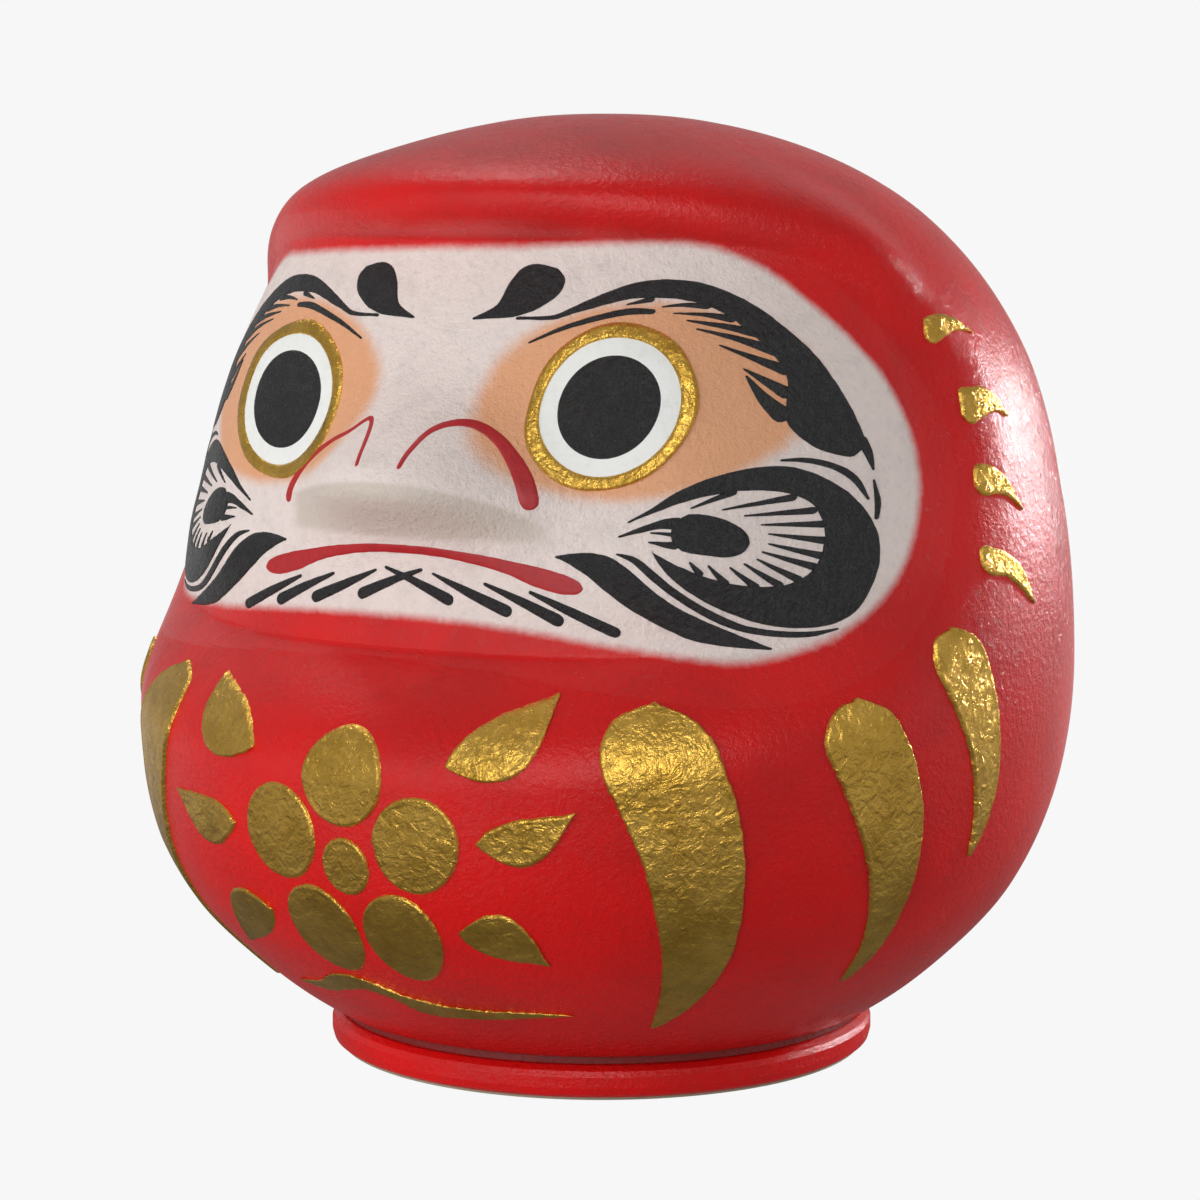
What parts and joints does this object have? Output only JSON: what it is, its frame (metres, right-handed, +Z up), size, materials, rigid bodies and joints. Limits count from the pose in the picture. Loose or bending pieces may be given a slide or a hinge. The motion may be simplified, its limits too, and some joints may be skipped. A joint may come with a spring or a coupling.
{
  "type": "daruma doll",
  "caption": "Round hollow paper tumbler doll with a sunken painted face, ringed eyes, combed brows and whiskers, raised gold brushwork and a weighted foot ring.",
  "frame": {"origin": "centre of the underside of the foot, on the surface it stands on", "axes": "+Z up; the doll looks along -Y; +X is the doll's own left"},
  "size_m": [0.1512, 0.1521, 0.15],
  "materials": {
    "red_lacquer": "semi-gloss red lacquer on papier-mache",
    "red_foot": "semi-gloss red lacquer on pressed paper board",
    "dark_board": "satin dark brown-red paint on board",
    "base_paper": "matt kraft paper",
    "clay": "matt dried clay",
    "chalk_white": "matt shell-white paint with soft orange shading",
    "eye_white": "satin white paint",
    "gold": "raised gold paint with a fine crinkle",
    "black_ink": "semi-gloss black paint",
    "red_ink": "satin dark red paint"
  },
  "bodies": {
    "root": {"body_shell": "red_lacquer", "back_seam_strip": "red_lacquer", "closing_disc": "dark_board", "foot_ring": "red_foot", "bottom_paper": "base_paper", "clay_weight": "clay", "face_coat": "chalk_white", "eye_white_left": "eye_white", "eye_white_right": "eye_white", "eye_ring_left": "gold", "eye_ring_right": "gold", "pupil_left": "black_ink", "pupil_right": "black_ink", "brow_drop_left": "black_ink", "brow_drop_right": "black_ink", "brow_left": "black_ink", "brow_right": "black_ink", "lid_line_left": "black_ink", "lid_line_right": "black_ink", "nose_line_left": "red_ink", "nose_line_right": "red_ink", "mouth": "red_ink", "whisker_left": "black_ink", "whisker_right": "black_ink", "whisker_eye_left": "black_ink", "whisker_eye_right": "black_ink", "moustache_left": "black_ink", "moustache_right": "black_ink", "jaw_line_left": "black_ink", "jaw_line_right": "black_ink", "chin_strokes_left": "black_ink", "chin_strokes_right": "black_ink", "gold_beard_left": "gold", "gold_beard_right": "gold", "gold_commas_left": "gold", "gold_commas_right": "gold", "gold_blossom": "gold", "gold_blossom_heart": "gold", "gold_leaves": "gold", "gold_wave": "gold"}
  },
  "joints": []
}
